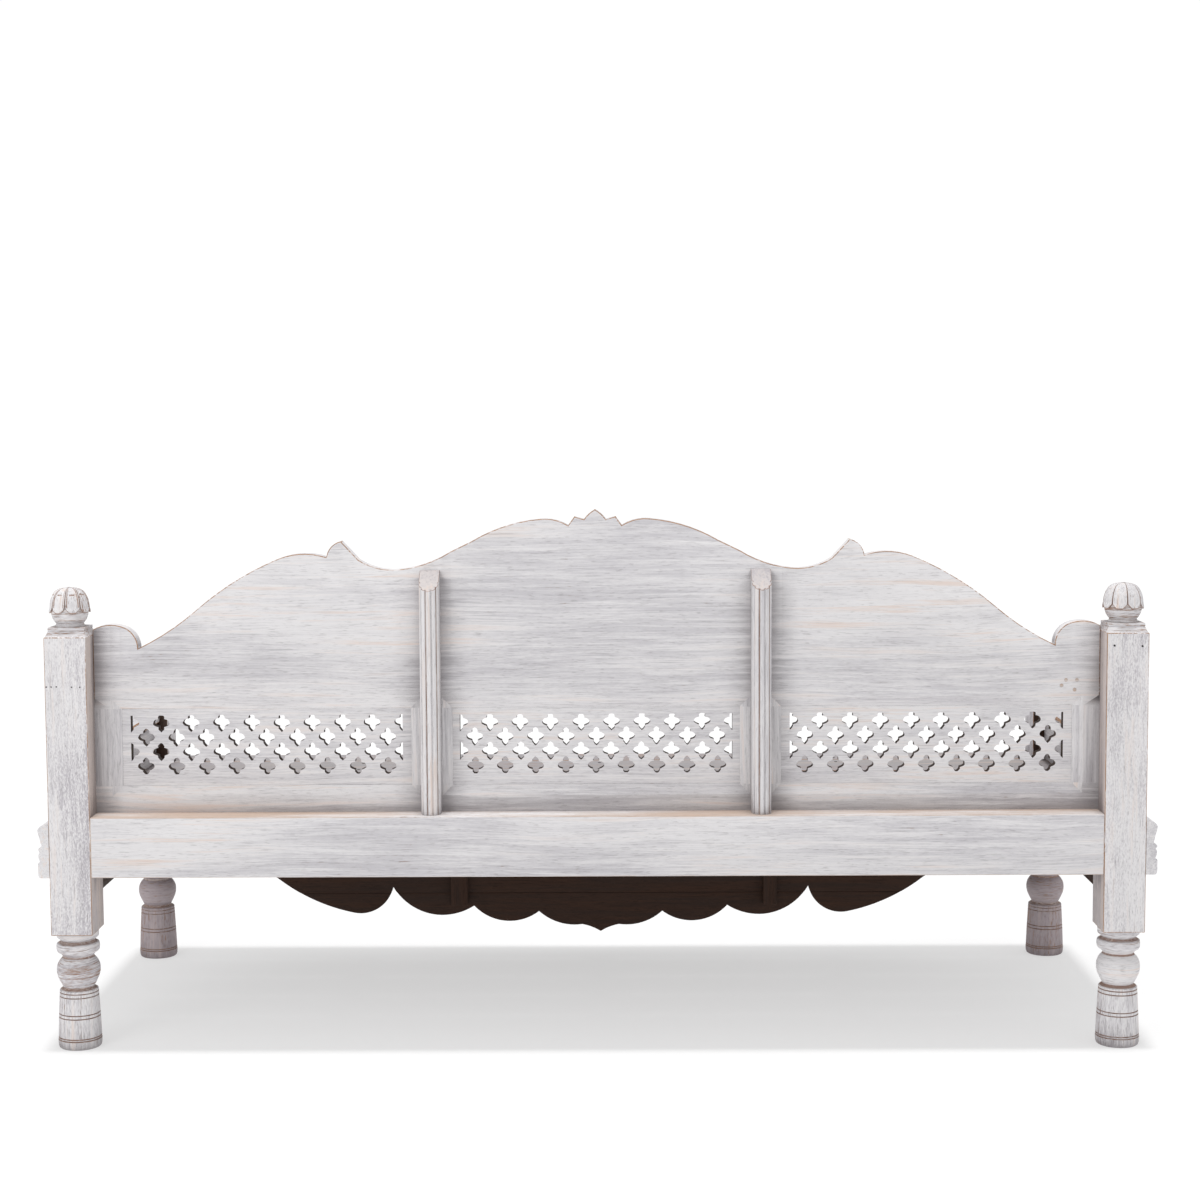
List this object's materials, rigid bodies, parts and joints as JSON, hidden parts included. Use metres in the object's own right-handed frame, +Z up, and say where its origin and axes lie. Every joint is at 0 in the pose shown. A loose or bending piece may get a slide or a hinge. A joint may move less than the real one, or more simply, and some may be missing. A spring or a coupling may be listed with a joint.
{
  "type": "takht day bed",
  "caption": "Long wooden day bed with turned feet, lotus bud finials, low arms, a pierced lattice back under a scalloped crest board and a scalloped front apron.",
  "frame": {"origin": "on the floor, below the middle of the day bed", "axes": "+Z up; the seat is entered from -Y and the back panel stands at +Y; +X runs along the length, to the right of a person who stands in front"},
  "size_m": [2.038, 0.798, 0.99],
  "materials": {
    "whitewash": "matt worn whitewash over brown wood, brushed grain",
    "worn_whitewash": "matt whitewash worn thin on turned and carved wood",
    "aged_deck": "matt grey whitewashed boards",
    "brown_wood": "matt bare brown wood"
  },
  "bodies": {
    "root": {"left_back_post": "whitewash", "right_back_post": "whitewash", "left_front_post": "whitewash", "right_front_post": "whitewash", "back_rail": "whitewash", "front_rail": "whitewash", "left_end_rail": "whitewash", "right_end_rail": "whitewash", "crest_board": "whitewash", "back_bottom_rail": "whitewash", "left_end_stile": "whitewash", "right_end_stile": "whitewash", "left_mid_stile": "whitewash", "right_mid_stile": "whitewash", "left_lattice": "whitewash", "middle_lattice": "whitewash", "right_lattice": "whitewash", "left_batten": "whitewash", "right_batten": "whitewash", "front_moulding": "whitewash", "left_end_moulding": "whitewash", "right_end_moulding": "whitewash", "left_arm_panel": "whitewash", "right_arm_panel": "whitewash", "left_arm_rail": "whitewash", "right_arm_rail": "whitewash", "back_feet": "worn_whitewash", "front_feet": "worn_whitewash", "back_finials": "worn_whitewash", "front_finials": "worn_whitewash", "deck_board_1": "aged_deck", "deck_board_2": "aged_deck", "deck_board_3": "aged_deck", "deck_board_4": "aged_deck", "deck_front_board": "aged_deck", "front_apron_board": "brown_wood", "apron_lower_centre": "brown_wood", "apron_lower_left": "brown_wood", "apron_lower_right": "brown_wood", "left_apron_cleat": "brown_wood", "right_apron_cleat": "brown_wood", "left_end_apron": "brown_wood", "right_end_apron": "brown_wood", "left_bearer": "brown_wood", "centre_bearer": "brown_wood", "right_bearer": "brown_wood", "panel_keys": "brown_wood", "apron_keys": "brown_wood"}
  },
  "joints": []
}
